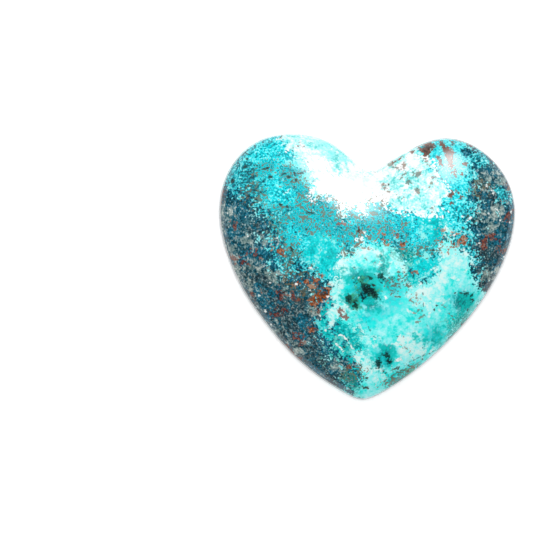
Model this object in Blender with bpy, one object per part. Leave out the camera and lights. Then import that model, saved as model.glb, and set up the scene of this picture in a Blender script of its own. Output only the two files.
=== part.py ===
"""Heart-shaped cabochon, cut and polished from one piece of blue-green copper stone.

The stone lies on its flat ground back at z = 0. X runs across the two lobes,
the point of the heart is at -Y, and the polished dome faces +Z. The origin is
on the back, in the middle of the heart's width and length.
"""
import math

import bmesh
import bpy
import numpy as np
from mathutils import Vector
from mathutils.geometry import interpolate_bezier

MM = 0.001

# Overall size, in millimetres
WIDTH = 28.4
LENGTH = 25.5
THICKNESS = 5.4

# Side of the stone, in millimetres: a narrow bevel at the back, then the girdle
BACK_BEVEL = 0.35
GIRDLE_TOP = 1.25
GIRDLE_TAPER = 0.12

# Dome: where its crown is, and how full its shoulders are.
# A fullness of 1 is a plain parabola, and 0.5 stands upright at the girdle.
CROWN = (-0.2, 0.3)
DOME_FULLNESS = 0.68

# Fineness of the mesh: points round the edge, rings up the dome, how much closer
# the rings lie at the edge than at the crown, and steps along each span of the edge.
# A line up the dome runs square to the edge for a while, in millimetres, then turns.
EDGE_POINTS = 120
DOME_RINGS = 18
RING_CROWDING = 1.45
KNOT_STEPS = 24
SQUARE_RUN = 1.1

# Nearest that a point is taken to lie to the edge's line, in square millimetres
LEAST_ASIDE = 1e-9

# The heart's edge, clockwise from the notch, as Bezier knots in millimetres:
# x, y, heading in degrees, handle length before the knot, handle length after it
EDGE_KNOTS = (
    (0.92, 9.17, 42, 0.0, 0.8),  # notch, leaving up the right lobe
    (3.20, 10.75, 27, 0.8, 1.4),  # inner shoulder of the right lobe
    (7.70, 12.31, 0, 1.8, 2.7),  # top of the right lobe
    (14.20, 5.20, -90, 4.2, 3.0),  # right side
    (10.34, -4.24, -127, 3.6, 3.2),  # right flank
    (2.20, -11.65, -149, 3.6, 0.9),  # right of the point
    (-0.45, -12.75, 180, 0.8, 0.8),  # point
    (-3.05, -11.60, 149, 0.9, 3.9),  # left of the point
    (-10.64, -4.24, 126, 3.9, 3.4),  # left flank
    (-14.20, 5.30, 90, 3.0, 4.4),  # left side
    (-7.40, 12.74, 0, 3.9, 4.0),  # top of the left lobe
    (-0.75, 9.65, -40, 1.8, 0.5),  # foot of the left lobe
    (0.92, 9.17, -14, 0.5, 0.0),  # back at the notch
)

# Corners sharper than this, in degrees, stay crisp: those of the bevel at the back
SHARP_ANGLE = 30

STONE_COLOUR = (0.012, 0.235, 0.330, 1.0)
STONE_ROUGHNESS = 0.12


def clear_scene():
    for item in list(bpy.data.objects):
        bpy.data.objects.remove(item)


def curve_between(knot, following):
    """Points of one Bezier span, without its last point."""
    start = Vector(knot[:2])
    end = Vector(following[:2])
    leaving = Vector((math.cos(math.radians(knot[2])), math.sin(math.radians(knot[2]))))
    arriving = Vector((math.cos(math.radians(following[2])), math.sin(math.radians(following[2]))))
    points = interpolate_bezier(start, start + leaving * knot[4], end - arriving * following[3], end, KNOT_STEPS)
    return [tuple(point[:2]) for point in points[:-1]]


def heart_edge(count):
    """Evenly spaced points round the heart from its notch, to exactly WIDTH by LENGTH."""
    drawn = []
    for knot, following in zip(EDGE_KNOTS, EDGE_KNOTS[1:]):
        drawn += curve_between(knot, following)
    closed = np.array(drawn + drawn[:1])
    steps = np.linalg.norm(np.diff(closed, axis=0), axis=1)
    travelled = np.concatenate(([0.0], np.cumsum(steps)))
    wanted = np.linspace(0.0, travelled[-1], count, endpoint=False)
    edge = np.stack([np.interp(wanted, travelled, closed[:, axis]) for axis in (0, 1)], axis=1)
    low, high = edge.min(axis=0), edge.max(axis=0)
    return (edge - (low + high) / 2) * (np.array((WIDTH, LENGTH)) / (high - low))


def inward_normals(edge):
    """Unit normals into the stone, for an edge that runs clockwise."""
    along = edge - np.roll(edge, 1, axis=0)
    along /= np.linalg.norm(along, axis=1)[:, None]
    along = along + np.roll(along, -1, axis=0)
    along /= np.linalg.norm(along, axis=1)[:, None]
    return np.stack((along[:, 1], -along[:, 0]), axis=1)


def softened_distance(points, edge):
    """Distance in from the edge, with no ridge where two flanks are equally near.

    Each stretch of the edge counts by the inverse cube of its distance. The sum
    gives the plain distance beside a straight edge, and blends smoothly further in.
    """
    along = np.roll(edge, -1, axis=0) - edge
    length = np.linalg.norm(along, axis=1)
    along = along / length[:, None]
    offset = points[:, None, :] - edge[None, :, :]
    before = (offset * along).sum(axis=2)
    aside = np.maximum((offset ** 2).sum(axis=2) - before ** 2, LEAST_ASIDE)
    after = length - before
    near = before / np.sqrt(before ** 2 + aside)
    far = after / np.sqrt(after ** 2 + aside)
    return np.sqrt(2.0 / ((near + far) / aside).sum(axis=1))


def stone_rings():
    """Rings of points up the stone, from the back's edge to just short of the crown."""
    edge = heart_edge(EDGE_POINTS)
    inward = inward_normals(edge)
    crown = np.array(CROWN)
    girdle = edge + inward * GIRDLE_TAPER
    full_distance = softened_distance(crown[None, :], girdle)[0]
    rings = [
        (edge + inward * BACK_BEVEL, np.zeros(EDGE_POINTS)),
        (edge, np.full(EDGE_POINTS, BACK_BEVEL)),
        (girdle, np.full(EDGE_POINTS, GIRDLE_TOP)),
    ]
    for ring in range(1, DOME_RINGS):
        climb = (ring / DOME_RINGS) ** RING_CROWDING
        places = (
            girdle * (1.0 - climb) ** 2
            + (girdle + inward * SQUARE_RUN) * 2.0 * climb * (1.0 - climb)
            + crown * climb ** 2
        )
        share = softened_distance(places, girdle) / full_distance
        rings.append((places, GIRDLE_TOP + (THICKNESS - GIRDLE_TOP) * share ** DOME_FULLNESS))
    return rings


def raise_ring(bm, ring, places, heights):
    """Extrude a closed ring of vertices once, and move the new ring to its places."""
    sides = [bm.edges.get((vert, ring[index - 1])) for index, vert in enumerate(ring)]
    made = bmesh.ops.extrude_edge_only(bm, edges=sides)["geom"]
    fresh = {item for item in made if isinstance(item, bmesh.types.BMVert)}
    raised = []
    for vert, place, height in zip(ring, places, heights):
        upper = next(edge.other_vert(vert) for edge in vert.link_edges if edge.other_vert(vert) in fresh)
        upper.co = Vector((place[0], place[1], height)) * MM
        raised.append(upper)
    return raised


def stone_mesh():
    rings = stone_rings()
    bm = bmesh.new()
    # The flat back starts as a filled circle, whose rim is moved onto the heart's outline
    ring = bmesh.ops.create_circle(bm, cap_ends=True, radius=MM, segments=EDGE_POINTS)["verts"]
    places, heights = rings[0]
    for vert, place, height in zip(ring, places, heights):
        vert.co = Vector((place[0], place[1], height)) * MM
    for places, heights in rings[1:]:
        ring = raise_ring(bm, ring, places, heights)
    # One more ring closes the dome at its crown
    ring = raise_ring(bm, ring, places, heights)
    bmesh.ops.pointmerge(bm, verts=ring, merge_co=Vector((*CROWN, THICKNESS)) * MM)
    bmesh.ops.recalc_face_normals(bm, faces=bm.faces)
    mesh = bpy.data.meshes.new("heart_stone")
    bm.to_mesh(mesh)
    bm.free()
    mesh.shade_smooth()
    mesh.set_sharp_from_angle(angle=math.radians(SHARP_ANGLE))
    return mesh


def stone_material():
    material = bpy.data.materials.new("polished copper stone")
    material.use_nodes = True
    shader = material.node_tree.nodes["Principled BSDF"]
    shader.inputs["Base Color"].default_value = STONE_COLOUR
    shader.inputs["Roughness"].default_value = STONE_ROUGHNESS
    shader.inputs["Metallic"].default_value = 0.0
    return material


def main():
    clear_scene()
    collection = bpy.data.collections.new("shattuckite heart")
    bpy.context.scene.collection.children.link(collection)
    stone = bpy.data.objects.new("heart_stone", stone_mesh())
    stone.data.materials.append(stone_material())
    collection.objects.link(stone)


main()
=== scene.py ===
"""Looks of a polished heart cabochon of shattuckite and chrysocolla."""

import math
from statistics import NormalDist

import bmesh
import bpy
import numpy as np
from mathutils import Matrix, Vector
from mathutils.geometry import interpolate_bezier


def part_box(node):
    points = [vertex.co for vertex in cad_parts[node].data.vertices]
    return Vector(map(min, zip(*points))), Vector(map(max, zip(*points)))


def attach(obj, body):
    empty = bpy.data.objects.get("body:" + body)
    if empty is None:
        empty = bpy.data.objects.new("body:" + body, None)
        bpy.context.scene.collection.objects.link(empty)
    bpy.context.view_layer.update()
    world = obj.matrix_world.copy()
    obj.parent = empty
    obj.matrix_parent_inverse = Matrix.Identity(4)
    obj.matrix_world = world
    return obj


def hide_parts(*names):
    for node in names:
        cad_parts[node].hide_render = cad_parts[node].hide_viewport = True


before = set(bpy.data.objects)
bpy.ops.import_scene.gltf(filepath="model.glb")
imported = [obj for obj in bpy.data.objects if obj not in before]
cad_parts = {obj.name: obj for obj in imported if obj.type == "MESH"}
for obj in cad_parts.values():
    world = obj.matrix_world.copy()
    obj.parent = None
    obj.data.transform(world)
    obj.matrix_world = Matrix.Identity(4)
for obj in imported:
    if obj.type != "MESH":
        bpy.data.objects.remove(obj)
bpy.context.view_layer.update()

MM = 0.001

# The photograph's width and height, its scale, and the pixel where the heart's middle lies
PHOTO_PIXELS = 533
MM_PER_PIXEL = 0.0958
HEART_PIXEL = (367.35, 266.7)

# Overall size, in millimetres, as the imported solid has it
stone_low, stone_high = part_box("heart_stone")
WIDTH = (stone_high.x - stone_low.x) / MM
LENGTH = (stone_high.y - stone_low.y) / MM
THICKNESS = stone_high.z / MM

# Side of the stone, in millimetres: a narrow bevel at the back, then the girdle
BACK_BEVEL = 0.35
GIRDLE_TOP = 1.25
GIRDLE_TAPER = 0.12

# Dome: where its crown is, and how full its shoulders are.
# A fullness of 1 is a plain parabola, and 0.5 stands upright at the girdle.
CROWN = (-0.2, 0.3)
DOME_FULLNESS = 0.68

# Fineness of the mesh: points round the edge, rings up the dome and across the back, how much
# closer the dome's rings lie at the edge than at the crown, and steps along each span of the edge.
# A line up the dome runs square to the edge for a while, in millimetres, then turns.
EDGE_POINTS = 400
DOME_RINGS = 150
BACK_RINGS = 46
RING_CROWDING = 1.25
KNOT_STEPS = 40
SQUARE_RUN = 1.1

# Where the rings of the girdle lie, as shares of its height from the bevel up
GIRDLE_SHARES = (0.33, 0.66, 1.0)

# Nearest that a point is taken to lie to the edge's line, in square millimetres
LEAST_ASIDE = 1e-9

# Corners sharper than this, in degrees, stay crisp: those of the bevel at the back
SHARP_ANGLE = 30

# The heart's edge, clockwise from the notch, as Bezier knots in millimetres:
# x, y, heading in degrees, handle length before the knot, handle length after it
EDGE_KNOTS = (
    (0.92, 9.17, 42, 0.0, 0.8),  # notch, leaving up the right lobe
    (3.20, 10.75, 27, 0.8, 1.4),  # inner shoulder of the right lobe
    (7.70, 12.31, 0, 1.8, 2.7),  # top of the right lobe
    (14.20, 5.20, -90, 4.2, 3.0),  # right side
    (10.34, -4.24, -127, 3.6, 3.2),  # right flank
    (2.20, -11.65, -149, 3.6, 0.9),  # right of the point
    (-0.45, -12.75, 180, 0.8, 0.8),  # point
    (-3.05, -11.60, 149, 0.9, 3.9),  # left of the point
    (-10.64, -4.24, 126, 3.9, 3.4),  # left flank
    (-14.20, 5.30, 90, 3.0, 4.4),  # left side
    (-7.40, 12.74, 0, 3.9, 4.0),  # top of the left lobe
    (-0.75, 9.65, -40, 1.8, 0.5),  # foot of the left lobe
    (0.92, 9.17, -14, 0.5, 0.0),  # back at the notch
)


def photo_point(pixel):
    """Millimetres across and along the stone, for a pixel of the photograph."""
    return ((pixel[0] - HEART_PIXEL[0]) * MM_PER_PIXEL, (HEART_PIXEL[1] - pixel[1]) * MM_PER_PIXEL)


# Shape of the stone


def curve_between(knot, following):
    """Points of one Bezier span, without its last point."""
    start = Vector(knot[:2])
    end = Vector(following[:2])
    leaving = Vector((math.cos(math.radians(knot[2])), math.sin(math.radians(knot[2]))))
    arriving = Vector((math.cos(math.radians(following[2])), math.sin(math.radians(following[2]))))
    first_handle = start + leaving * knot[4]
    last_handle = end - arriving * following[3]
    points = interpolate_bezier(start, first_handle, last_handle, end, KNOT_STEPS)
    return [tuple(point[:2]) for point in points[:-1]]


def heart_edge(count):
    """Evenly spaced points round the heart from its notch, to exactly WIDTH by LENGTH."""
    drawn = []
    for knot, following in zip(EDGE_KNOTS, EDGE_KNOTS[1:]):
        drawn += curve_between(knot, following)
    closed = np.array(drawn + drawn[:1])
    steps = np.linalg.norm(np.diff(closed, axis=0), axis=1)
    travelled = np.concatenate(([0.0], np.cumsum(steps)))
    wanted = np.linspace(0.0, travelled[-1], count, endpoint=False)
    edge = np.stack([np.interp(wanted, travelled, closed[:, axis]) for axis in (0, 1)], axis=1)
    low, high = edge.min(axis=0), edge.max(axis=0)
    return (edge - (low + high) / 2) * (np.array((WIDTH, LENGTH)) / (high - low))


def inward_normals(edge):
    """Unit normals into the stone, for an edge that runs clockwise."""
    along = edge - np.roll(edge, 1, axis=0)
    along /= np.linalg.norm(along, axis=1)[:, None]
    along = along + np.roll(along, -1, axis=0)
    along /= np.linalg.norm(along, axis=1)[:, None]
    return np.stack((along[:, 1], -along[:, 0]), axis=1)


def softened_distance(points, edge):
    """Distance in from the edge, with no ridge where two flanks are equally near."""
    along = np.roll(edge, -1, axis=0) - edge
    length = np.linalg.norm(along, axis=1)
    along = along / length[:, None]
    offset = points[:, None, :] - edge[None, :, :]
    before = (offset * along).sum(axis=2)
    aside = np.maximum((offset ** 2).sum(axis=2) - before ** 2, LEAST_ASIDE)
    after = length - before
    near = before / np.sqrt(before ** 2 + aside)
    far = after / np.sqrt(after ** 2 + aside)
    return np.sqrt(2.0 / ((near + far) / aside).sum(axis=1))


def stone_rings():
    """Rings of points round the stone, from the middle of its back to the crown."""
    edge = heart_edge(EDGE_POINTS)
    inward = inward_normals(edge)
    crown = np.array(CROWN)
    girdle = edge + inward * GIRDLE_TAPER
    back_edge = edge + inward * BACK_BEVEL
    full_distance = softened_distance(crown[None, :], girdle)[0]
    level = np.ones(EDGE_POINTS)
    rings = []
    for ring in range(1, BACK_RINGS):
        share = ring / BACK_RINGS
        rings.append((crown + (back_edge - crown) * share, level * 0.0))
    rings.append((back_edge, level * 0.0))
    rings.append((edge, level * BACK_BEVEL))
    for share in GIRDLE_SHARES:
        height = BACK_BEVEL + (GIRDLE_TOP - BACK_BEVEL) * share
        rings.append((edge + inward * GIRDLE_TAPER * share, level * height))
    for ring in range(1, DOME_RINGS):
        climb = (ring / DOME_RINGS) ** RING_CROWDING
        places = (
            girdle * (1.0 - climb) ** 2
            + (girdle + inward * SQUARE_RUN) * 2.0 * climb * (1.0 - climb)
            + crown * climb ** 2
        )
        share = softened_distance(places, girdle) / full_distance
        rings.append((places, GIRDLE_TOP + (THICKNESS - GIRDLE_TOP) * share ** DOME_FULLNESS))
    return rings


def raise_ring(bm, ring, places, heights):
    """Extrude a closed ring of vertices once, and move the new ring to its places."""
    sides = [bm.edges.get((vert, ring[index - 1])) for index, vert in enumerate(ring)]
    made = bmesh.ops.extrude_edge_only(bm, edges=sides)["geom"]
    fresh = {item for item in made if isinstance(item, bmesh.types.BMVert)}
    raised = []
    for vert, place, height in zip(ring, places, heights):
        upper = next(edge.other_vert(vert) for edge in vert.link_edges if edge.other_vert(vert) in fresh)
        upper.co = Vector((place[0], place[1], height)) * MM
        raised.append(upper)
    return raised


def stone_mesh():
    """The stone's mesh, raised ring by ring from the middle of its back."""
    rings = stone_rings()
    bm = bmesh.new()
    # The smallest ring of the back starts as a filled circle, whose rim is moved into place
    ring = bmesh.ops.create_circle(bm, cap_ends=True, radius=MM, segments=EDGE_POINTS)["verts"]
    places, heights = rings[0]
    for vert, place, height in zip(ring, places, heights):
        vert.co = Vector((place[0], place[1], height)) * MM
    for places, heights in rings[1:]:
        ring = raise_ring(bm, ring, places, heights)
    # One more ring closes the dome at its crown
    ring = raise_ring(bm, ring, places, heights)
    bmesh.ops.pointmerge(bm, verts=ring, merge_co=Vector((*CROWN, THICKNESS)) * MM)
    bmesh.ops.recalc_face_normals(bm, faces=bm.faces)
    mesh = bpy.data.meshes.new("polished_stone")
    bm.to_mesh(mesh)
    bm.free()
    mesh.shade_smooth()
    mesh.set_sharp_from_angle(angle=math.radians(SHARP_ANGLE))
    return mesh


# Where the stone's varieties lie, traced in pixels of the photograph.
# A patch is an outline of points. A daub is an oval: x, y, half width, half height and
# turn in degrees. A streak is a half width and the points of a line.

# Bright blue-green ground of all but the blue flanks
BRIGHT = {
    "patches": (
        ((230, 120), (222, 186), (235, 194), (250, 202), (262, 204), (267, 210), (273, 219), (273, 232),
         (270, 241), (272, 250), (277, 264), (282, 270), (289, 272), (302, 270), (309, 267), (316, 268),
         (324, 275), (330, 282), (329, 298), (323, 306), (320, 316), (320, 327), (329, 333), (338, 348),
         (345, 357), (350, 372), (352, 400), (400, 400), (450, 345), (476, 313), (482, 294), (475, 283),
         (471, 258), (468, 246), (469, 214), (468, 200), (466, 189), (468, 168), (465, 155), (456, 144),
         (452, 120)),
    ),
    "daubs": ((502, 196, 6, 6, 20), (478, 156, 7, 5, 30)),
}

# Livelier turquoise across the middle of the bright ground
LIVELY = {
    "patches": (
        ((262, 125), (252, 144), (246, 153), (252, 163), (258, 173), (262, 187), (266, 197), (268, 207),
         (276, 214), (278, 222), (281, 233), (286, 241), (292, 246), (300, 252), (312, 258), (322, 270),
         (334, 276), (340, 270), (338, 258), (346, 250), (395, 245), (404, 252), (437, 251), (446, 232),
         (458, 226), (465, 214), (462, 196), (464, 185), (462, 168), (458, 150), (457, 128)),
    ),
}

# Pale field round the notch and along the right lobe's inner side: partly the stone's pale aqua, partly a
# painted highlight where the gleam from above the notch falls
PALE_AND_PAINTED_GLARE = {
    "patches": (
        ((282, 120), (280, 137), (285, 148), (296, 155), (306, 166), (312, 178), (313, 186), (310, 197),
         (317, 200), (325, 197), (332, 198), (337, 203), (340, 210), (339, 217), (343, 222), (346, 213),
         (351, 207), (354, 203), (359, 203), (360, 214), (363, 222), (366, 214), (366, 204), (372, 201),
         (378, 204), (386, 208), (392, 211), (404, 212), (414, 213), (421, 216), (437, 214), (440, 211),
         (440, 204), (444, 198), (447, 194), (445, 187), (439, 177), (433, 169), (429, 160), (423, 155),
         (419, 147), (400, 120)),
        ((357.5, 234), (361, 232), (363, 240), (366, 247), (358, 248)),
    ),
}

# Nearly white band across the pale field: partly pale mineral, mostly a painted highlight where the gleam is
# blown out
WHITE_AND_PAINTED_GLARE = {
    "patches": (
        ((345, 168), (352, 163), (362, 170), (374, 172), (390, 170), (404, 158), (412, 152), (421, 154),
         (422, 162), (408, 170), (398, 172), (382, 180), (384, 188), (392, 196), (384, 202), (372, 199),
         (358, 200), (346, 204), (341, 208), (336, 200), (318, 197), (313, 190), (318, 182), (332, 178)),
    ),
}

# Painted highlight: a pale veil of reflection over the left lobe's shoulder, above the white
PAINTED_SHOULDER_GLEAM = {
    "patches": (((317, 135), (330, 140), (336, 146), (333, 157), (328, 162), (326, 150), (321, 143)),),
    "daubs": ((322, 170, 7, 4, 30), (347, 160, 5, 9, 45), (300, 163, 10, 8, 0), (306, 176, 7, 8, 0)),
}

# Smooth turquoise pools in the middle
LAGOON = {
    "patches": (
        ((306, 240), (322, 234), (334, 238), (341, 246), (345, 252), (340, 258), (338, 272), (335, 277),
         (325, 276), (316, 268), (309, 264), (303, 256)),
        ((418, 217), (430, 215), (440, 217), (445, 224), (444, 232), (440, 243), (434, 247), (428, 240),
         (424, 230), (419, 224)),
        ((404, 254), (414, 253), (424, 256), (437, 258), (440, 263), (438, 271), (436, 278), (432, 275),
         (427, 279), (423, 276), (416, 272), (408, 268)),
    ),
}

# Mint-green field of the lower right half
MINT = {
    "patches": (
        ((339, 261), (343, 255), (348, 252), (352, 249), (358, 247), (369, 246), (377, 243), (390, 244),
         (393, 251), (398, 257), (404, 267), (406, 271), (406, 277), (403, 282), (409, 287), (418, 285),
         (424, 280), (427, 281), (433, 278), (438, 271), (441, 262), (440, 255), (438, 249), (440, 243),
         (445, 238), (447, 228), (449, 238), (452, 243), (458, 248), (458, 253), (461, 255), (463, 252),
         (471, 259), (470, 266), (472, 274), (475, 283), (480, 289), (486, 293), (476, 313), (461, 330),
         (440, 350), (400, 400), (352, 400), (361, 378), (358, 364), (350, 350), (343, 336), (337, 320),
         (329, 325), (327, 310), (333, 304), (329, 299), (329, 293), (331, 287), (331, 282), (336, 274)),
    ),
}

# Whitish borders and clouds in the mint field
FROST = {
    "patches": (
        ((339, 262), (344, 255), (352, 250), (366, 248), (378, 252), (376, 262), (362, 264), (352, 266),
         (345, 272), (342, 284), (342, 300), (337, 310), (330, 300), (332, 286), (337, 274)),
        ((392, 250), (398, 258), (405, 270), (405, 280), (412, 284), (420, 288), (421, 306), (410, 303),
         (398, 280), (391, 262)),
        ((425, 284), (434, 279), (440, 264), (442, 244), (446, 232), (449, 240), (457, 248), (462, 256),
         (466, 262), (458, 274), (446, 286), (440, 300), (428, 306)),
        ((330, 306), (340, 304), (352, 312), (364, 330), (372, 346), (372, 362), (384, 380), (376, 382),
         (366, 368), (356, 356), (366, 344), (352, 326), (338, 318), (330, 326), (327, 316)),
        ((392, 346), (412, 336), (428, 348), (424, 356), (404, 362), (394, 362)),
    ),
}

# Deeper cyan pools in the mint field
CYAN_POOL = {
    "daubs": ((364, 288, 22, 21, 0), (392, 287, 13, 12, 20), (375, 312, 18, 9, 20),
              (460, 301, 16, 13, 20), (384, 356, 13, 14, 20), (434, 336, 13, 11, -30),
              (366, 318, 12, 8, 0), (392, 300, 12, 9, 0), (404, 372, 16, 6, 30)),
}

# Turquoise islands with crisp shores, mostly down the left of the mint field
ISLANDS = {
    "patches": (
        ((336, 318), (339, 317), (343, 322), (352, 324), (350, 328), (355, 332), (357, 327), (361, 328),
         (361, 333), (358, 336), (357, 341), (364, 344), (368, 347), (364, 350), (359, 351), (353, 349),
         (350, 344), (344, 338), (338, 336), (334, 331), (336, 325)),
        ((330, 299), (335, 301), (332, 305), (327, 308), (325, 316), (326, 326), (332, 334), (340, 340),
         (348, 350), (354, 360), (350, 366), (343, 354), (334, 344), (324, 335), (319, 327), (320, 314),
         (324, 304)),
        ((405, 274), (409, 271), (417, 277), (419, 283), (414, 287), (408, 284)),
    ),
    "daubs": ((337, 278, 1.7, 4.5, 0), (425.5, 282.5, 2.5, 1.6, 0), (355, 368, 4, 2.5, 10),
              (364, 353, 1.5, 1.3, 0), (373, 336, 2.5, 1.2, 0), (363, 335, 1.5, 1, 0)),
}

# Darker teal along the lower right rim, by the point and between the pools. Between the pools it is the
# stone's own; along the rim and by the point it is partly painted shade.
TEAL_AND_PAINTED_RIM_SHADE = {
    "patches": (
        ((346, 370), (356, 374), (361, 382), (358, 392), (350, 388), (344, 380)),
        ((476, 311), (466, 312), (456, 319), (450, 328), (446, 338), (452, 345), (480, 315)),
        ((384, 392), (389, 377), (402, 370), (414, 366), (424, 362), (416, 378), (396, 396)),
        ((391, 249), (402, 247), (412, 250), (415, 256), (410, 266), (404, 262), (398, 257)),
    ),
    "daubs": ((346, 348, 5, 2, 40), (338, 343, 6, 2.5, 45), (459, 320, 15, 7, 45)),
}

# Dark green halos of the flower-like inclusions
FLOWERS = {
    "daubs": ((360, 277, 13, 7, -5), (366, 292, 12, 10, 0), (351, 301, 7.5, 8.5, 25),
              (381, 268, 4.5, 14, -8), (461, 302, 9, 9, 20), (436.5, 332, 2.4, 3.4, 15),
              (431.5, 341, 5, 2, -15), (386, 350, 6, 6, 0), (378.5, 362, 3.4, 5, 15),
              (387, 359, 4.4, 6.5, -15), (370, 305, 9, 5, 0), (385, 282, 5, 4, 0)),
}

# Black hearts of the flowers
FLOWER_HEARTS = {
    "patches": (
        ((359, 283), (364, 285), (371, 284), (373, 290), (378, 297), (374, 298), (369, 292), (366, 297),
         (362, 301), (359, 296), (363, 291)),
        ((375.5, 361), (379, 356), (381, 361), (379, 368), (376, 366)),
        ((383, 355), (386, 352), (390, 357), (391, 366), (387, 364), (384, 360)),
    ),
    "daubs": ((354, 281.5, 2.2, 1.3, 0), (370, 278, 3, 1.6, -20), (348, 299, 2, 4, 30),
              (354, 303, 2.2, 3.5, 0), (362, 295, 3, 3, 0), (350, 308, 1.5, 1, 0), (379, 256, 1.2, 1, 0),
              (380, 279, 3, 4, 0)),
    "streaks": ((1.4, ((464, 294), (469, 296))), (1.1, ((469.5, 295), (471.5, 299), (470, 303)))),
}

# Moss-green tufts in the flowers
MOSS = {
    "daubs": ((362, 280, 7, 3, 5), (357, 290, 3, 3, 0), (374, 293, 4, 4, 0), (366, 290, 2, 4, 0),
              (353, 300, 5, 6, 20), (355, 307, 2, 1.5, 0), (410, 372, 3, 2, 0)),
}

# Rust-brown oxide at the top of the right lobe
RUST = {
    "patches": (
        ((420, 148), (424, 144), (433, 141), (436, 147), (432, 154.5), (426, 158), (421, 154)),
        ((439, 140), (443, 140), (446, 146), (451, 150), (455, 152), (452, 156), (452, 160), (455, 166),
         (452, 169), (447, 168), (445, 162), (443.5, 155), (441, 150), (439, 145)),
        ((449, 139), (454, 141), (455, 145), (452, 147), (450, 144.5)),
        ((434.5, 156), (439, 156), (444, 166), (441, 167), (437, 162)),
        ((455, 192), (459, 193), (462, 197), (460, 200), (457, 198)),
    ),
    "daubs": ((412.5, 152, 2, 1.3, 0), (400, 158.5, 2.4, 1.2, 30), (450, 195, 3, 3, 0),
              (451, 203, 3, 1.6, -40), (464, 165, 2.6, 2, 0), (454, 173, 4, 2.4, -50),
              (461, 175.5, 4, 1.5, -40), (465, 143, 8, 2.4, -20), (394, 162, 2.4, 1.4, 20)),
}

# Brick-red flecks, mostly in the blue
BRICK = {
    "daubs": ((243, 262.5, 5, 2.2, 12), (234, 257.5, 2.8, 1.3, 0), (254, 252.5, 3.6, 1.6, -20),
              (257, 254.5, 1.4, 2.4, 30), (234.5, 225, 1.5, 3, 10), (298.5, 337, 3.5, 2, -30),
              (301.5, 341.5, 1.6, 3.6, -30), (286, 311.5, 3, 1.6, 0), (312, 327.5, 2.2, 2.2, 0),
              (274, 313.5, 4.5, 3, -10), (293, 296, 4, 2, -30), (491, 236, 4, 2.2, 20),
              (497, 242, 3.5, 2.4, -45), (502, 250.5, 3.5, 1.6, 10), (484, 240, 2.5, 3, 0),
              (482, 247, 2, 2, 0), (506, 220, 1.6, 3.2, -10), (507, 187, 2.2, 1.4, -20),
              (509, 214, 3.5, 1.8, 30), (348, 366.5, 2, 1.6, 0), (254, 292.5, 2.2, 1.2, 0),
              (279.5, 295, 2, 4, 10), (360, 228.5, 3, 1, 0), (340, 225, 3, 1.3, 0), (317, 311, 1.3, 2, 0),
              (283, 292, 2, 2, 0)),
    "streaks": ((1.6, ((283, 343), (290, 350), (299, 359))),
                (1.6, ((219, 203), (220, 197), (222.5, 190))),
                (1.1, ((339, 308), (339.5, 313), (342, 315))), (1.1, ((343, 315.5), (347, 317)))),
}

# Orange-brown oxide, mostly between the blue and the mint
ORANGE = {
    "patches": (
        ((320, 290), (329, 289), (329, 296), (323, 301), (316, 304), (311, 307), (308, 303), (311, 298),
         (316, 296)),
    ),
    "daubs": ((305, 282, 4, 2, 10), (317, 279, 4, 2.4, 20), (316, 284, 3, 1.6, 30), (300, 283, 3, 2, 0),
              (323, 287, 3, 2, 0), (280, 251, 4, 4, 0), (438.7, 230.7, 2.2, 2.2, 0),
              (439, 239, 1.3, 3.4, 10), (460, 239, 4.5, 3.4, 20), (461, 243.5, 2.4, 2.6, 0),
              (453, 235, 1.5, 1, 0), (381.5, 236.5, 1.7, 3, 20), (386, 241.5, 3, 1.2, 10),
              (395, 235, 1.6, 3.4, -30), (401, 245, 2.4, 2, 0), (452, 246, 1.2, 3, 25),
              (447, 249, 1, 2, 30), (413, 271, 1.5, 1.3, 0), (312, 328, 2.5, 3, 0)),
}

# Grey-green clouds in the blue
CLOUDS = {
    "daubs": ((247, 242, 7, 6, 40), (232, 249, 5, 4.5, 0), (269, 239, 6, 2.4, 10),
              (268, 274, 9, 4.5, -20), (277, 278, 4, 5, 0), (250, 268, 5, 5, 40), (248, 283, 3, 5, 20),
              (237, 270, 3, 7, 25), (280, 334, 3, 8, 35), (277, 330, 2.4, 5, 30), (340, 365, 5.5, 5, 30),
              (352, 382, 4, 4, 30), (357, 391, 6, 3, 20), (284, 291, 3, 5, 15), (312, 309, 4, 4, 0),
              (298, 350, 4, 4, 0), (489, 225, 4, 5, 0), (476, 219, 6, 4, 20), (484, 276, 6, 3, 30),
              (497, 210, 6, 4, 40), (484, 183, 4, 6, 30), (220, 212, 2.5, 10, 0), (228, 213, 4, 3, 30),
              (500, 180, 5, 5, 0)),
}

# Dark smoky areas in the blue
SHADE = {
    "patches": (
        ((471, 272), (482, 272), (494, 276), (500, 276), (486, 302), (474, 300), (478, 290)),
        ((466, 186), (474, 180), (484, 186), (482, 200), (474, 212), (468, 206)),
        ((474, 244), (484, 250), (496, 254), (504, 260), (498, 276), (482, 270), (472, 262)),
    ),
    "daubs": ((259, 208, 7, 8, 20), (272, 213, 7, 3, 10), (262, 281, 10, 6, -10), (280, 312, 12, 8, -20),
              (300, 305, 10, 7, 0), (262, 232, 6, 4, 0), (312, 316, 6, 12, 10), (294, 352, 14, 6, -35),
              (316, 356, 14, 7, -40), (300, 300, 8, 4, 0), (290, 330, 8, 8, 0), (247, 296, 5, 9, 30),
              (335, 380, 10, 5, -30), (490, 200, 6, 5, 0)),
}

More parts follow.
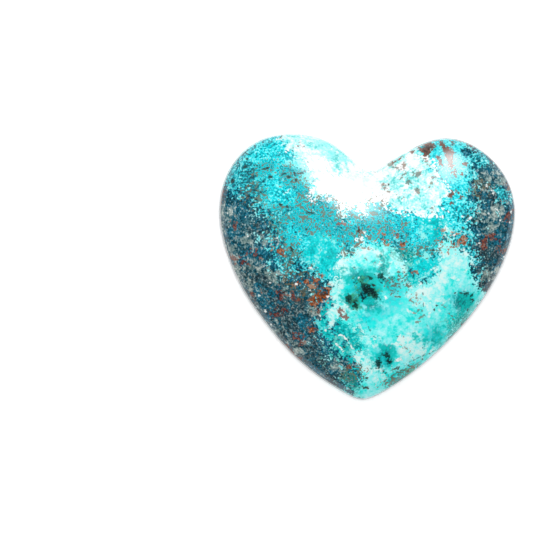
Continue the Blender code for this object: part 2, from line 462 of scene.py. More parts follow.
# Where fine dark specks are thickest
PEPPER = {
    "patches": (
        ((316, 200), (326, 197), (333, 199), (340, 210), (339, 218), (336, 224), (324, 222), (314, 212)),
        ((344, 212), (351, 208), (358, 210), (361, 215), (354, 217), (346, 217)),
    ),
    "daubs": ((297, 215, 22, 6, -8), (308, 224, 14, 7, -15), (375, 209, 10, 8, 0), (349, 238, 9, 10, 0),
              (370, 228, 12, 10, 0), (278, 229, 6, 8, 0), (290, 176, 8, 8, 0), (302, 188, 4, 10, 10),
              (294, 278, 8, 6, 0), (312, 272, 5, 5, 0), (318, 292, 6, 8, 30), (306, 290, 12, 8, 0),
              (254, 195, 10, 10, 0), (426, 249, 10, 6, 20), (400, 236, 6, 12, 0), (287, 250, 10, 12, 0),
              (264, 170, 8, 4, 20), (397, 283, 9, 9, 30), (478, 190, 8, 8, 0), (352, 374, 8, 6, 0),
              (400, 376, 14, 5, 30), (308, 204, 10, 8, 0), (384, 232, 6, 8, 0)),
    "streaks": ((3.0, ((323, 227), (333, 231), (340, 237), (345, 244), (348, 252))),),
}

# Single dark specks
DARK_SPOTS = {
    "daubs": ((246.5, 153.5, 2.4, 1, -20), (247, 159, 1, 0.8, 0), (258, 165.5, 2, 0.9, -20),
              (245, 167, 2.6, 1.7, 20), (232.7, 181, 2, 2.6, 20), (249.5, 181.5, 0.9, 0.8, 0),
              (290.7, 170.2, 1.8, 0.8, 0), (294, 174, 0.8, 2, 30), (289, 177.5, 1.4, 1, 0),
              (291.7, 181.6, 0.9, 0.9, 0), (296, 181, 1, 1.2, 0), (300.7, 174, 2.4, 0.8, 0),
              (293.7, 187, 1, 1.5, -30), (254.5, 190.5, 2, 1, 10), (261, 193, 1.1, 1, 0),
              (266, 193, 1.8, 0.8, -40), (248.5, 197, 1.6, 1.3, 40), (287, 207, 2.2, 0.9, -40),
              (281, 205, 1.8, 1.2, 0), (310, 213.6, 3, 0.9, -10), (292.7, 148, 0.8, 1.5, 0),
              (299, 146, 0.9, 0.8, 0), (303.7, 146.8, 0.7, 0.6, 0), (312, 143, 0.6, 0.6, 0),
              (298.7, 142.7, 0.8, 0.5, 0), (308, 162.6, 0.9, 0.8, 0), (277.5, 223.5, 1.6, 1.5, 0),
              (282.5, 225.5, 1, 1.6, -20), (274.6, 227.5, 1.5, 1, 0), (277, 233, 1.4, 1, 0),
              (306, 229, 0.9, 1.5, -30), (291.5, 249.5, 1.3, 3, 5), (301.4, 252, 2, 0.8, 35),
              (318.8, 250.3, 0.8, 0.8, 0), (353.6, 267.3, 1, 0.9, 0), (357.5, 231, 1.6, 1, 30),
              (357, 233.5, 1, 1.6, -20), (344, 243, 1.6, 1, -50), (348, 251.5, 1.4, 1.4, 0),
              (403, 243.6, 0.9, 1.2, 0), (391.8, 277, 1.7, 0.9, -10), (425, 249, 1.6, 0.9, -40),
              (431, 250, 1.2, 0.9, 0), (453.8, 216.8, 0.7, 1.2, 0), (390.4, 210.4, 0.8, 0.8, 0),
              (404.5, 212.4, 1, 0.7, 20), (424.5, 355.3, 1.6, 1, -30), (429.4, 353.2, 0.9, 0.8, 0),
              (423.2, 348.5, 1.2, 1.6, 30), (423, 359, 0.9, 0.8, 0), (450.4, 331.6, 1.2, 1.1, 0),
              (454.5, 333.5, 2.2, 1, 50), (450, 338, 1, 2, -45), (462, 324.6, 1.2, 1.6, -20),
              (468, 310, 1.4, 1, 0), (393, 375.3, 1, 0.9, 0), (407.5, 371.2, 0.9, 0.9, 0),
              (384.5, 372.2, 2.2, 1, -20), (397, 368, 2.6, 0.9, 10), (365, 387, 2.4, 1.2, -20),
              (366, 378, 1.6, 1.4, 0), (358.5, 350.3, 1.1, 0.8, 0), (343.5, 346.5, 1.4, 1.2, 30),
              (397, 335.8, 0.9, 0.7, 0), (402, 335.8, 1.3, 1.1, 0), (353.7, 319.3, 0.8, 0.6, 30),
              (310.8, 347.4, 1.4, 1.4, 0), (436, 305.5, 0.9, 0.7, 0), (433, 309.5, 1, 0.7, -40),
              (472, 300, 1, 2, 10), (460, 292.5, 1.4, 1, -30), (454, 292.8, 1, 0.8, 0),
              (373, 285, 0.8, 0.8, 0), (360, 364, 1.2, 0.8, -20), (281, 136.5, 2, 0.9, 50),
              (255, 145.5, 1, 0.6, -40), (419, 148.8, 0.8, 0.8, 0), (490, 160, 0.7, 4, 0),
              (454.5, 178.6, 0.9, 0.9, 0), (443.5, 240, 0.6, 0.6, 0), (388, 185, 1, 1, 0),
              (362, 192.3, 1, 0.5, -30), (466, 229.5, 2, 1, -20), (461, 229, 1.8, 1, 20),
              (468, 245, 1.6, 1.2, 40)),
    "streaks": ((0.55, ((263, 169.5), (268, 168.5))), (0.6, ((269, 177.5), (273, 176.5), (276, 176))),
                (0.6, ((279, 177), (285, 174))), (0.5, ((467, 216), (462, 221), (459, 222.5)))),
}

# Single white specks, which are painted glints off tiny pits, one white triangle, and fine white lines
WHITE_SPECKS_AND_PAINTED_GLINTS = {
    "daubs": ((245.5, 217, 0.9, 0.9, 0), (247.6, 236, 1, 0.9, 0), (262.9, 248, 1, 0.9, 0),
              (264.6, 265.6, 0.8, 1.6, -30), (270.3, 282.8, 0.8, 0.8, 0), (258.8, 295.4, 1.8, 1.8, 0),
              (265.5, 310.8, 1, 1.2, 0), (271, 324.7, 0.9, 0.9, 0), (320.2, 319, 0.9, 0.8, 0),
              (402.4, 262.6, 1, 1, 0), (384.5, 297.5, 1, 1.4, 20), (475.3, 172, 0.9, 1, 0),
              (491.4, 191, 1.6, 1, -30), (511, 196.7, 0.7, 1, 0), (461, 216.7, 1.1, 1, 0),
              (459.7, 232, 1.2, 1.2, 0), (452.7, 235.3, 1.6, 1.2, 0), (500, 220.5, 1, 0.8, -30),
              (476.6, 243.7, 1.5, 0.7, 20), (510.5, 211.8, 0.9, 1.8, 30), (296, 284, 1.2, 1, 0),
              (309.3, 290.5, 1, 1, 0), (327.5, 296.3, 1.4, 1, 0), (310, 268, 1.6, 1, 0),
              (276.6, 238, 1.2, 0.8, 0), (485.5, 186, 0.8, 1.4, 0), (492.5, 193.5, 1, 1.4, 0),
              (496, 210, 0.6, 0.8, 0), (325, 330, 1.6, 1, 0), (504, 257, 2, 0.8, 20),
              (510, 222, 1.5, 1.2, 0), (357.5, 277.6, 0.9, 0.8, 0), (323.5, 301.5, 1, 0.8, 20),
              (386, 187, 1.3, 0.8, 0)),
    "patches": (((394.5, 361), (399, 355.5), (405, 361.4)),),
    "streaks": ((0.7, ((464.5, 222), (467, 219.5), (471, 217.5))),
                (0.6, ((338, 334.4), (343, 335), (350, 344), (353.5, 348.5))),
                (0.6, ((335, 343), (340, 347), (342, 351))), (0.5, ((487, 211), (487.5, 214))),
                (0.5, ((494, 208.5), (499, 213.5))), (0.45, ((290, 189), (288, 192), (284.5, 194))),
                (0.5, ((264, 174), (266, 176))), (0.5, ((229, 209), (233, 212), (231, 215), (226, 213)))),
}

# Cyan veins through the rust
VEINS = {
    "streaks": ((0.9, ((437.5, 147), (440, 150), (443, 158), (445, 164.5))),
                (1.6, ((432, 154.5), (435, 150.5), (438, 149))),
                (1, ((445, 139.5), (447.5, 143), (450, 144))),
                (1.2, ((454, 162), (457, 166), (462, 167.5))),
                (1.4, ((459, 144), (462, 147), (466, 146))), (1, ((459, 170), (457, 174)))),
    "daubs": ((463, 146, 5, 3, -20), (457, 150, 3, 5, 0), (458, 160, 3, 3, 0)),
}

# Hairline cracks
CRACKS = {
    "streaks": ((0.25, ((421, 278.8), (421.7, 290), (422.3, 306), (424.2, 315.5), (427.4, 329.5),
                        (432.5, 343), (433.2, 350.6))),
                (0.25, ((405, 363), (413, 360), (422, 356), (430, 353), (437, 349.5), (444, 346.5))),
                (0.25, ((365, 320.7), (367, 326), (370, 331.4))),
                (0.25, ((376.5, 375.5), (371, 369.5), (366, 359))), (0.25, ((404, 362), (413, 369))),
                (0.3, ((373, 172.5), (381, 167.5), (388, 162), (397, 157.5), (409, 150.5), (420, 145))),
                (0.3, ((370, 169.5), (376, 171), (380, 172.5))),
                (0.35, ((340, 196.5), (333, 199), (337, 203.5), (339.5, 209)))),
}

# Short brown squiggles in the mint and pale fields
SQUIGGLES = {
    "streaks": ((0.4, ((410, 295), (412, 293), (415, 293.5))),
                (0.4, ((414, 297), (418, 298), (421, 297))), (0.4, ((408, 299), (411, 301), (413, 303))),
                (0.4, ((413.5, 312), (417, 310), (420.5, 311))), (0.5, ((419.5, 308.5), (421, 311))),
                (0.4, ((448, 312.5), (450.5, 315), (452.5, 319.5))), (0.4, ((415.5, 302), (419, 303))),
                (0.4, ((418, 317.5), (422.5, 315.5))), (0.4, ((392, 288), (396, 291), (400, 293))),
                (0.5, ((396, 287.5), (401, 291), (405, 292.5))), (0.4, ((441, 305), (445, 305.5))),
                (0.4, ((400, 346), (404, 347.5))), (0.4, ((406, 348), (409, 352))),
                (0.4, ((416, 322), (419, 320))), (0.5, ((358, 246.5), (364, 248), (369, 248.5))),
                (0.4, ((380, 183), (384, 184.5), (387, 189), (388, 192))),
                (0.4, ((389, 193), (386.5, 191.5))), (0.5, ((398, 180), (401, 177.5), (404, 174))),
                (0.5, ((407, 177), (409, 181), (412, 184))), (0.4, ((414, 170), (412, 174), (415, 178))),
                (0.5, ((424, 160), (427, 163), (428, 166))), (0.45, ((431, 183), (433, 180), (436, 177))),
                (0.45, ((428, 187), (431, 185))), (0.5, ((429, 210), (432, 208), (431, 212))),
                (0.45, ((396, 196), (400, 199), (403, 197.5))), (0.4, ((363, 258), (366, 260))),
                (0.5, ((374, 262), (378, 261)))),
    "daubs": ((392, 165, 3.4, 1.6, -10), (398, 168.5, 4, 1, -10), (404, 166, 1.2, 2.4, 0),
              (417, 175, 4, 2.4, 30), (433, 178, 2.4, 2, 20), (384, 188, 3, 1.6, -30),
              (416, 191, 2, 3, 0), (407, 183, 2.4, 2.6, 0)),
}


# Mineral grain: the widths of its three sizes in millimetres, and the detail of the noise
# that makes it, with that noise's mean and its usual swing about the mean
GRAIN_WIDTHS = {"broad": 1.5, "middling": 0.5, "fine": 0.2}
GRAIN_DETAIL = 2.0
NOISE_MEAN = 0.5
NOISE_SWING = 0.085

# Swings of the grain that a colour ramp spans from end to end
RAMP_REACH = 6.0

# Polished chrysocolla and shattuckite in quartz: an index near 1.6, and a wet gloss
STONE_IOR = 1.6
POLISHED_ROUGHNESS = 0.1

# The flat back is only ground, so it is satin. Soft iron oxide takes less polish than the rest,
# so it adds to the roughness in the varieties listed.
GROUND_ROUGHNESS = 0.38
OXIDE_ROUGHNESS = 0.1
OXIDES = ("pepper", "rust", "brick", "orange", "squiggle", "dark_spot")

# Relief left by the polish, in metres: a long ripple, a shorter one, and pits in the oxide
RIPPLE_HEIGHT = 0.0000012
GRAIN_HEIGHT = 0.0000003
PIT_DEPTH = 0.000006

# The stone's varieties, from the ground up. Each has its shades by share of its area, mostly from
# dark to pale, and under "grain" the weights of broad, middling and fine grain that they follow.
# Its edge wanders by so many millimetres with each of those grains, and is soft over so many.
# "most" caps the depth inside, so that where it is small the grain opens holes in the cover.
# "strength" is how much of what lies beneath it hides. Where nothing is drawn for a variety, it
# lies all over the stone.
VARIETIES = (
    {"name": "deep_blue", "drawn": None, "grain": (0.5, 0.5, 1.0), "shades": (
        (8, "022E38"), (13, "0B3943"), (20, "05495C"), (20, "0E5568"), (18, "026179"), (13, "1A6D83"),
        (6, "407C8C"),
        (2, "70A1AC"))},
    {"name": "slate", "drawn": None, "most": -0.1, "wander": (0.5, 0.5, 0.2), "soft": 1.2, "strength": 0.75,
     "grain": (0.3, 0.5, 1.0), "shades": (
        (12, "0D2227"), (20, "1C3339"), (28, "204B54"), (20, "336067"), (13, "40747D"), (5, "749295"),
        (2, "B1BDBD"))},
    {"name": "shade", "drawn": SHADE, "most": 0.3, "wander": (0.3, 0.5, 0.3), "soft": 0.9, "strength": 0.8,
     "grain": (0.2, 0.5, 1.0), "shades": (
        (20, "060B10"), (25, "182227"), (25, "21343A"), (17, "32474A"), (9, "4F6468"), (4, "7F9292"))},
    {"name": "cloud", "drawn": CLOUDS, "most": 0.4, "wander": (0.1, 0.3, 0.15), "soft": 0.7,
     "strength": 0.75, "grain": (0.3, 0.6, 0.6), "shades": (
        (15, "335253"), (30, "52706E"), (30, "708883"), (20, "879791"), (5, "B0BAB2"))},
    {"name": "bright", "drawn": BRIGHT, "most": 2.0, "wander": (0.4, 0.4, 0.45), "soft": 0.5,
     "strength": 1.0, "grain": (0.3, 0.5, 1.0), "shades": (
        (12, "184850"), (24, "1E6C77"), (26, "1A909D"), (22, "20B9C4"), (12, "4FC6CC"), (4, "95D8D8"))},
    {"name": "lively", "drawn": LIVELY, "most": 0.9, "wander": (0.4, 0.4, 0.4), "soft": 0.6,
     "strength": 1.0, "grain": (0.3, 0.5, 1.0), "shades": (
        (6, "10616D"), (10, "1D8793"), (16, "05A6B2"), (20, "02C3CE"), (18, "20CFD8"), (15, "3FD6DB"),
        (10, "61DADC"), (5, "8CE0E1"))},
    {"name": "lagoon", "drawn": LAGOON, "most": 1.5, "wander": (0.15, 0.3, 0.15), "soft": 0.7,
     "strength": 1.0, "grain": (0.6, 0.6, 0.5), "shades": (
        (18, "02989D"), (34, "02B3B6"), (30, "02CACC"), (13, "2CC3C8"), (5, "7DD8D5"))},
    # Partly pale aqua, partly a painted highlight round the notch
    {"name": "pale_and_painted_glare", "drawn": PALE_AND_PAINTED_GLARE, "most": 2.0, "wander": (0.1, 0.2, 0.2), "soft": 0.18, "strength": 1.0,
     "grain": (0.6, 0.8, 0.8), "shades": (
        (8, "5EC5C3"), (20, "86DFDE"), (30, "A6E1DF"), (30, "BFE4E4"), (12, "E3E4E4"))},
    # Painted highlight: the pale veil of a reflection on the left lobe
    {"name": "painted_shoulder_gleam", "drawn": PAINTED_SHOULDER_GLEAM, "most": 1.0, "wander": (0.1, 0.2, 0.15), "soft": 0.8,
     "strength": 0.8, "grain": (0.4, 0.6, 0.6), "shades": ((30, "52DBDA"), (40, "77E2E2"), (30, "95E4E3"))},
    # Nearly white: partly pale mineral, mostly a painted highlight
    {"name": "white_and_painted_glare", "drawn": WHITE_AND_PAINTED_GLARE, "most": 2.0, "wander": (0.1, 0.25, 0.15), "soft": 0.6,
     "strength": 1.0, "grain": (0.3, 0.6, 0.6), "shades": ((15, "CFE0DE"), (85, "E4E5E5"))},
    {"name": "mint", "drawn": MINT, "most": 2.0, "wander": (0.05, 0.15, 0.15), "soft": 0.12,
     "strength": 1.0, "grain": (0.7, 0.7, 0.35), "shades": (
        (6, "1DD1CC"), (24, "4BDCD6"), (38, "6EE0DD"), (24, "83E2E1"), (8, "A0E4E4"))},
    {"name": "frost", "drawn": FROST, "most": 1.2, "wander": (0.15, 0.35, 0.15), "soft": 0.8,
     "strength": 0.9,
     "grain": (0.5, 0.6, 0.5), "shades": ((15, "7BDEDB"), (35, "9BE3E2"), (35, "B2E3E0"), (15, "CEE4E0"))},
    {"name": "cyan_pool", "drawn": CYAN_POOL, "most": 1.5, "wander": (0.2, 0.2, 0.1), "soft": 1.6,
     "strength": 0.9, "grain": (0.6, 0.6, 0.4), "shades": ((30, "02B2B8"), (40, "02C7CA"), (30, "1DD9D4"))},
    {"name": "island", "drawn": ISLANDS, "most": 2.0, "wander": (0.0, 0.12, 0.12), "soft": 0.1,
     "strength": 1.0,
     "grain": (0.5, 0.7, 0.5), "shades": ((15, "028081"), (40, "02A5A5"), (35, "08BDBC"), (10, "61CECC"))},
    # Partly the stone's teal, partly painted shade along the lower right rim and by the point
    {"name": "teal_and_painted_rim_shade", "drawn": TEAL_AND_PAINTED_RIM_SHADE, "most": 1.5, "wander": (0.1, 0.3, 0.3), "soft": 0.6, "strength": 0.9,
     "grain": (0.4, 0.6, 0.8), "shades": (
        (12, "023D3E"), (25, "026F69"), (30, "027D78"), (20, "21B4AD"), (13, "66C3BB"))},
    {"name": "flower", "drawn": FLOWERS, "most": 1.0, "wander": (0.1, 0.25, 0.15), "soft": 0.9,
     "strength": 0.92, "grain": (0.4, 0.8, 0.5), "shades": (
        (15, "023E44"), (25, "025E64"), (35, "028681"), (25, "02ADA7"))},
    {"name": "moss", "drawn": MOSS, "most": 1.0, "wander": (0.0, 0.15, 0.12), "soft": 0.3, "strength": 0.8,
     "grain": (0.2, 0.6, 0.7), "shades": ((30, "1D4E2E"), (40, "2E7B59"), (30, "399E7B"))},
    {"name": "pepper", "drawn": PEPPER, "most": -0.12, "wander": (0.05, 0.14, 0.26), "soft": 0.16,
     "strength": 0.85, "grain": (0.2, 0.6, 0.8), "shades": (
        (30, "0D1513"), (30, "303E38"), (25, "42554E"), (15, "5D533C"))},
    {"name": "rust", "drawn": RUST, "most": 1.0, "wander": (0.0, 0.08, 0.06), "soft": 0.12,
     "strength": 0.95, "grain": (0.4, 0.6, 0.7), "shades": (
        (14, "3E2118"), (24, "572E1F"), (30, "663C2E"), (22, "703B29"), (10, "6C554A"))},
    {"name": "brick", "drawn": BRICK, "most": 1.0, "wander": (0.0, 0.12, 0.1), "soft": 0.2,
     "strength": 0.85,
     "grain": (0.2, 0.6, 0.7), "shades": ((35, "2E0602"), (35, "4E1506"), (20, "73240D"), (10, "7B4E3E"))},
    {"name": "orange", "drawn": ORANGE, "most": 1.0, "wander": (0.0, 0.14, 0.12), "soft": 0.16,
     "strength": 0.92, "grain": (0.2, 0.6, 0.7), "shades": (
        (15, "3E1D02"), (20, "62381C"), (30, "7B3802"), (25, "8F440A"), (10, "997862"))},
    {"name": "vein", "drawn": VEINS, "most": 1.0, "wander": (0.0, 0.1, 0.1), "soft": 0.12, "strength": 1.0,
     "grain": (0.2, 0.6, 0.7), "shades": ((30, "03ADB8"), (40, "24CAD3"), (30, "55D7DA"))},
    {"name": "flower_heart", "drawn": FLOWER_HEARTS, "most": 1.0, "wander": (0.0, 0.1, 0.08), "soft": 0.25,
     "strength": 0.95, "grain": (0.2, 0.6, 0.7), "shades": ((50, "020203"), (30, "02101F"), (20, "0E3E36"))},
    {"name": "squiggle", "drawn": SQUIGGLES, "most": 1.0, "wander": (0.0, 0.04, 0.07), "soft": 0.1,
     "strength": 0.75,
     "grain": (0.2, 0.6, 0.7), "shades": ((40, "322E28"), (40, "4E4E40"), (20, "7B5D44"))},
    {"name": "crack", "drawn": CRACKS, "most": 1.0, "wander": (0.0, 0.02, 0.02), "soft": 0.06,
     "strength": 0.7, "grain": (0.2, 0.6, 0.7), "shades": ((50, "0E3E3E"), (50, "295350"))},
    {"name": "dark_spot", "drawn": DARK_SPOTS, "most": 1.0, "wander": (0.0, 0.03, 0.04), "soft": 0.1,
     "strength": 0.9, "grain": (0.2, 0.6, 0.7), "shades": ((50, "020202"), (30, "1D130A"), (20, "302E24"))},
    # Its single specks are painted glints; its lines and triangle are the stone's own
    {"name": "white_speck_and_painted_glint", "drawn": WHITE_SPECKS_AND_PAINTED_GLINTS, "most": 1.0, "wander": (0.0, 0.02, 0.03), "soft": 0.08,
     "strength": 0.95, "grain": (0.2, 0.6, 0.7), "shades": ((40, "BACFCC"), (60, "DCE2E0"))},
)


# Finish

# How far the pattern drifts across and along between the girdle's top and the back, in millimetres
PATTERN_DRIFT = (2.2, -1.4)

# The greatest depth inside or outside a shape that is kept, in millimetres
FARTHEST = 3.0


def linear(hex_colour):
    """Linear RGBA of an sRGB colour such as 0B3A5C."""
    channels = [int(hex_colour[at:at + 2], 16) / 255 for at in (0, 2, 4)]
    return tuple(c / 12.92 if c <= 0.04045 else ((c + 0.055) / 1.055) ** 2.4 for c in channels) + (1.0,)


def line_distance(places, line):
    """Distance of each place from a drawn line."""
    nearest = np.full(len(places), np.inf)
    for start, end in zip(line, line[1:]):
        run = end - start
        along = np.clip(((places - start) @ run) / (run @ run), 0.0, 1.0)
        nearest = np.minimum(nearest, np.linalg.norm(places - start - along[:, None] * run, axis=1))
    return nearest


def patch_depth(places, outline):
    """How deep each place lies inside an outline, and less than nothing outside it."""
    closed = np.array([photo_point(pixel) for pixel in outline + outline[:1]])
    within = np.zeros(len(places), dtype=bool)
    for start, end in zip(closed, closed[1:]):
        level = (start[1] > places[:, 1]) != (end[1] > places[:, 1])
        if level.any():
            crossing = start[0] + (places[:, 1] - start[1]) * (end[0] - start[0]) / (end[1] - start[1])
            within ^= level & (places[:, 0] < crossing)
    distance = line_distance(places, closed)
    return np.where(within, distance, -distance)


def daub_depth(places, x, y, half_width, half_height, turn):
    """Depth inside an oval, in the same sense."""
    offset = places - np.array(photo_point((x, y)))
    angle = math.radians(turn)
    across = (offset[:, 0] * math.cos(angle) + offset[:, 1] * math.sin(angle)) / (half_width * MM_PER_PIXEL)
    upward = (offset[:, 1] * math.cos(angle) - offset[:, 0] * math.sin(angle)) / (half_height * MM_PER_PIXEL)
    return (1.0 - np.hypot(across, upward)) * min(half_width, half_height) * MM_PER_PIXEL


def streak_depth(places, half_width, line):
    """Depth inside a streak, in the same sense."""
    drawn = np.array([photo_point(pixel) for pixel in line])
    return half_width * MM_PER_PIXEL - line_distance(places, drawn)


def drawn_depth(places, drawn):
    """Depth inside everything that is drawn for one variety of the stone, in millimetres."""
    depth = np.full(len(places), -FARTHEST)
    for outline in drawn.get("patches", ()):
        depth = np.maximum(depth, patch_depth(places, outline))
    for daub in drawn.get("daubs", ()):
        depth = np.maximum(depth, daub_depth(places, *daub))
    for half_width, line in drawn.get("streaks", ()):
        depth = np.maximum(depth, streak_depth(places, half_width, line))
    return np.minimum(depth, FARTHEST)


def lay_out_pattern(mesh):
    """Keep the depth inside each variety at each point of the stone, drifting below the girdle."""
    points = np.empty(len(mesh.vertices) * 3, dtype=np.float32)
    mesh.vertices.foreach_get("co", points)
    points = points.reshape(-1, 3).astype(float) / MM
    below = np.clip(1.0 - points[:, 2] / GIRDLE_TOP, 0.0, 1.0)
    places = points[:, :2] + below[:, None] * np.array(PATTERN_DRIFT)
    for variety in VARIETIES:
        if variety["drawn"]:
            depth = drawn_depth(places, variety["drawn"]).astype(np.float32)
            mesh.attributes.new(variety["name"], "FLOAT", "POINT").data.foreach_set("value", depth)


# Sockets of a colour Mix node, whose names repeat for each kind of data
MIX_FACTOR = 0
MIX_UNDER = 6
MIX_OVER = 7
MIX_RESULT = 2


def add(tree, kind, inputs=None, **settings):
    """Add a node. An input is given a value, or the socket that feeds it."""
    node = tree.nodes.new(kind)
    for name, value in settings.items():
        setattr(node, name, value)
    for name, value in (inputs or {}).items():
        if isinstance(value, bpy.types.NodeSocket):
            tree.links.new(value, node.inputs[name])
        else:
            node.inputs[name].default_value = value
    return node


def grain_waves(tree):
    """Three sizes of mineral grain, each as three unlike waves whose usual swing is 1."""
    place = add(tree, "ShaderNodeTexCoord").outputs["Object"]
    waves = {}
    for size, width in GRAIN_WIDTHS.items():
        noise = add(tree, "ShaderNodeTexNoise", {
            "Vector": place, "Scale": 1.0 / (width * MM), "Detail": GRAIN_DETAIL})
        swing = add(tree, "ShaderNodeVectorMath", {
            0: noise.outputs["Color"], 1: (NOISE_MEAN,) * 3}, operation="SUBTRACT")
        even = add(tree, "ShaderNodeVectorMath", {
            0: swing.outputs[0], "Scale": 1.0 / NOISE_SWING}, operation="SCALE")
        split = add(tree, "ShaderNodeSeparateXYZ", {0: even.outputs[0]})
        waves[size] = [split.outputs[axis] for axis in range(3)]
    return waves


def blended(tree, waves, weights, turn, start):
    """A sum of the three sizes of wave, each times its weight, added to a start."""
    total = start
    for step, (size, weight) in enumerate(zip(waves, weights)):
        if weight:
            wave = waves[size][(turn + step) % 3]
            total = add(tree, "ShaderNodeMath", {
                0: wave, 1: weight, 2: total}, operation="MULTIPLY_ADD").outputs[0]
    return total


def mottled_colour(tree, waves, variety, turn):
    """The variety's colours, each over its share of the area, following the grain."""
    weights = np.array(variety["grain"], dtype=float)
    weights = weights / np.linalg.norm(weights) / RAMP_REACH
    value = blended(tree, waves, weights, turn, 0.5)
    ramp_node = add(tree, "ShaderNodeValToRGB", {0: value})
    ramp = ramp_node.color_ramp
    shares = np.array([share for share, _ in variety["shades"]], dtype=float)
    shares = shares / shares.sum()
    middles = np.cumsum(shares) - shares / 2
    for at, (middle, (_, shade)) in enumerate(zip(middles, variety["shades"])):
        position = 0.5 + NormalDist().inv_cdf(middle) / RAMP_REACH
        stop = ramp.elements[at] if at < 2 else ramp.elements.new(position)
        stop.position = position
        stop.color = linear(shade)
    return ramp_node.outputs["Color"]


def cover(tree, waves, variety, turn):
    """Where a variety covers those before it: inside its outline, whose edge wanders with the grain."""
    if variety["drawn"]:
        depth = add(tree, "ShaderNodeAttribute", attribute_name=variety["name"]).outputs["Fac"]
        depth = add(tree, "ShaderNodeMath", {
            0: depth, 1: variety["most"]}, operation="MINIMUM").outputs[0]
    else:
        depth = variety["most"]
    reach = blended(tree, waves, variety["wander"], turn, depth)
    half = variety["soft"] / 2
    return add(tree, "ShaderNodeMapRange", {
        "Value": reach, "From Min": -half, "From Max": half},
        interpolation_type="SMOOTHSTEP").outputs["Result"]


def polish(tree, oxide):
    """Roughness: a wet gloss on the dome, duller on oxide, and satin on the ground back."""
    place = add(tree, "ShaderNodeTexCoord").outputs["Object"]
    height = add(tree, "ShaderNodeSeparateXYZ", {0: place}).outputs["Z"]
    bare = add(tree, "ShaderNodeMapRange", {
        "Value": height, "From Min": BACK_BEVEL * MM / 2, "From Max": BACK_BEVEL * MM,
        "To Min": GROUND_ROUGHNESS, "To Max": POLISHED_ROUGHNESS}).outputs["Result"]
    return add(tree, "ShaderNodeMath", {
        0: oxide, 1: OXIDE_ROUGHNESS, 2: bare}, operation="MULTIPLY_ADD").outputs[0]


def relief(tree, waves, oxide):
    """The faint ripple of a hand-held polish, and shallow pits in the oxide."""
    heights = (RIPPLE_HEIGHT, GRAIN_HEIGHT, 0.0)
    surface = blended(tree, waves, heights, 1, 0.0)
    pitted = add(tree, "ShaderNodeMath", {
        0: oxide, 1: -PIT_DEPTH, 2: surface}, operation="MULTIPLY_ADD").outputs[0]
    return add(tree, "ShaderNodeBump", {"Height": pitted, "Distance": 1.0}).outputs["Normal"]


def polished_stone():
    """Shattuckite, chrysocolla and rusty iron oxide, domed on a wheel and polished to a wet gloss, with a
    painted highlight round the notch, painted shade along the lower rim and painted glints among its
    colours.
    """
    material = bpy.data.materials.new("polished shattuckite")
    material.use_nodes = True
    tree = material.node_tree
    shader = tree.nodes["Principled BSDF"]
    shader.inputs["IOR"].default_value = STONE_IOR
    shader.inputs["Roughness"].default_value = POLISHED_ROUGHNESS
    waves = grain_waves(tree)
    colour = mottled_colour(tree, waves, VARIETIES[0], 0)
    oxide = 0.0
    for turn, variety in enumerate(VARIETIES[1:], start=1):
        own = mottled_colour(tree, waves, variety, turn)
        mask = cover(tree, waves, variety, turn)
        mask = add(tree, "ShaderNodeMath", {
            0: mask, 1: variety["strength"]}, operation="MULTIPLY").outputs[0]
        if variety["name"] in OXIDES:
            oxide = add(tree, "ShaderNodeMath", {0: oxide, 1: mask}, operation="MAXIMUM").outputs[0]
        mix = add(tree, "ShaderNodeMix", {
            MIX_FACTOR: mask, MIX_UNDER: colour, MIX_OVER: own}, data_type="RGBA")
        colour = mix.outputs[MIX_RESULT]
    tree.links.new(colour, shader.inputs["Base Color"])
    tree.links.new(polish(tree, oxide), shader.inputs["Roughness"])
    tree.links.new(relief(tree, waves, oxide), shader.inputs["Normal"])
    return material


def build_stone():
    """The stone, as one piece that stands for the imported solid."""
    stone = bpy.data.objects.new("polished_heart", stone_mesh())
    bpy.context.scene.collection.objects.link(stone)
    lay_out_pattern(stone.data)
    stone.data.materials.append(polished_stone())
    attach(stone, "root")
    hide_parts("heart_stone")


# Camera, floor and light: places and sizes in metres, lamps in watts

CAMERA_HEIGHT = 0.4
SENSOR_WIDTH = 36.0  # millimetres
SIGHT_LIMIT = 20.0

# The floor lies a hair below the stone, so that their faces don't share a plane
FLOOR_REACH = 3.0
FLOOR_GAP = 0.00004
PAPER_COLOUR = "F4F4F4"
PAPER_ROUGHNESS = 0.9

# A lamp straight above and one behind the notch light the stone all over
OVERHEAD_HEIGHT = 0.7
OVERHEAD_SIZE = 0.35
OVERHEAD_WATTS = 5.4
KEY_PLACE = (0.0, 0.38, 0.32)
KEY_SIZE = 0.3
KEY_WATTS = 1.1

# The white tent round the scene
TENT_COLOUR = (1.0, 1.0, 1.0, 1.0)
TENT_BRIGHTNESS = 0.08

# A small softbox close behind the notch makes the gleam on the left lobe and in the valley.
# Its panel runs from 0 to 1 each way, and its light fades between two distances from the middle.
SOFTBOX_PLACE = (0.0152, 0.0542, 0.0369)
SOFTBOX_AIM = (0.0, 0.0075, 0.0025)
SOFTBOX_SIZE = 0.052
SOFTBOX_WATTS = 0.11
PANEL_MIDDLE = (0.5, 0.5, 0.0)
FADE_START = 0.08
FADE_END = 0.5


def set_camera():
    """Straight down over the middle of the photograph, framed so that its pixels keep their scale."""
    middle = photo_point((PHOTO_PIXELS / 2, PHOTO_PIXELS / 2))
    camera = bpy.data.cameras.new("camera")
    camera.sensor_width = SENSOR_WIDTH
    camera.lens = SENSOR_WIDTH * (CAMERA_HEIGHT - GIRDLE_TOP * MM) / (PHOTO_PIXELS * MM_PER_PIXEL * MM)
    camera.clip_end = SIGHT_LIMIT
    holder = bpy.data.objects.new("camera", camera)
    holder.location = (middle[0] * MM, middle[1] * MM, CAMERA_HEIGHT)
    bpy.context.scene.collection.objects.link(holder)
    bpy.context.scene.camera = holder


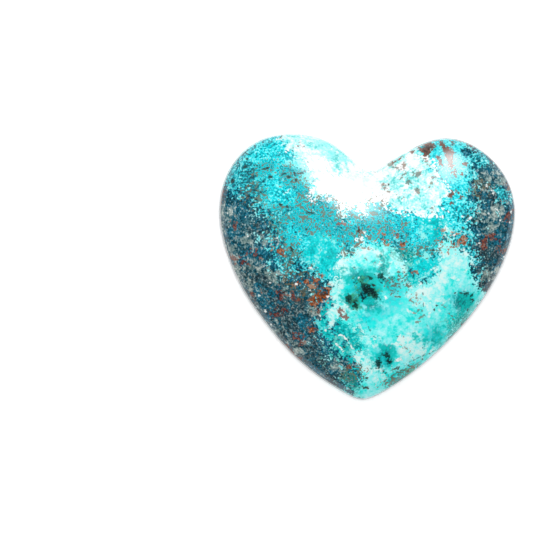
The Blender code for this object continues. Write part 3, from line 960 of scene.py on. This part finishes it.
def set_floor():
    """A sheet of matt white paper that reaches past the camera's sight."""
    mesh = bpy.data.meshes.new("floor")
    bm = bmesh.new()
    bmesh.ops.create_grid(bm, x_segments=1, y_segments=1, size=FLOOR_REACH)
    bmesh.ops.translate(bm, verts=bm.verts, vec=(0.0, 0.0, -FLOOR_GAP))
    bm.to_mesh(mesh)
    bm.free()
    floor = bpy.data.objects.new("floor", mesh)
    bpy.context.scene.collection.objects.link(floor)
    material = bpy.data.materials.new("matt white paper")
    material.use_nodes = True
    shader = material.node_tree.nodes["Principled BSDF"]
    shader.inputs["Base Color"].default_value = linear(PAPER_COLOUR)
    shader.inputs["Roughness"].default_value = PAPER_ROUGHNESS
    shader.inputs["Specular IOR Level"].default_value = 0.0
    mesh.materials.append(material)


def area_light(name, place, aim, size, watts):
    """A square soft light. Returns its holder."""
    light = bpy.data.lights.new(name, "AREA")
    light.shape = "SQUARE"
    light.size = size
    light.energy = watts
    holder = bpy.data.objects.new(name, light)
    holder.location = place
    holder.rotation_euler = (Vector(aim) - Vector(place)).to_track_quat("-Z", "Y").to_euler()
    bpy.context.scene.collection.objects.link(holder)
    return holder


def soften_edges(light):
    """Let a softbox fade from its middle to its rim, as its cloth does."""
    light.use_nodes = True
    tree = light.node_tree
    across = add(tree, "ShaderNodeNewGeometry").outputs["Parametric"]
    off_middle = add(tree, "ShaderNodeVectorMath", {0: across, 1: PANEL_MIDDLE}, operation="DISTANCE")
    fade = add(tree, "ShaderNodeMapRange", {
        "Value": off_middle.outputs["Value"], "From Min": FADE_END, "From Max": FADE_START},
        interpolation_type="SMOOTHSTEP")
    tree.links.new(fade.outputs["Result"], tree.nodes["Emission"].inputs["Strength"])


def set_lights():
    """Two lamps that light the stone without a reflection, the softbox that gleams, and the tent."""
    middle = (0.0, 0.0, 0.0)
    overhead = area_light("overhead", (0.0, 0.0, OVERHEAD_HEIGHT), middle, OVERHEAD_SIZE, OVERHEAD_WATTS)
    overhead.visible_glossy = False
    key = area_light("key", KEY_PLACE, middle, KEY_SIZE, KEY_WATTS)
    key.visible_glossy = False
    softbox = area_light("softbox", SOFTBOX_PLACE, SOFTBOX_AIM, SOFTBOX_SIZE, SOFTBOX_WATTS)
    softbox.visible_diffuse = False
    softbox.visible_camera = False
    soften_edges(softbox.data)
    world = bpy.data.worlds.new("tent")
    bpy.context.scene.world = world
    world.use_nodes = True
    background = world.node_tree.nodes["Background"]
    background.inputs["Color"].default_value = TENT_COLOUR
    background.inputs["Strength"].default_value = TENT_BRIGHTNESS


build_stone()
set_camera()
set_floor()
set_lights()
bpy.context.scene.view_settings.view_transform = "Standard"
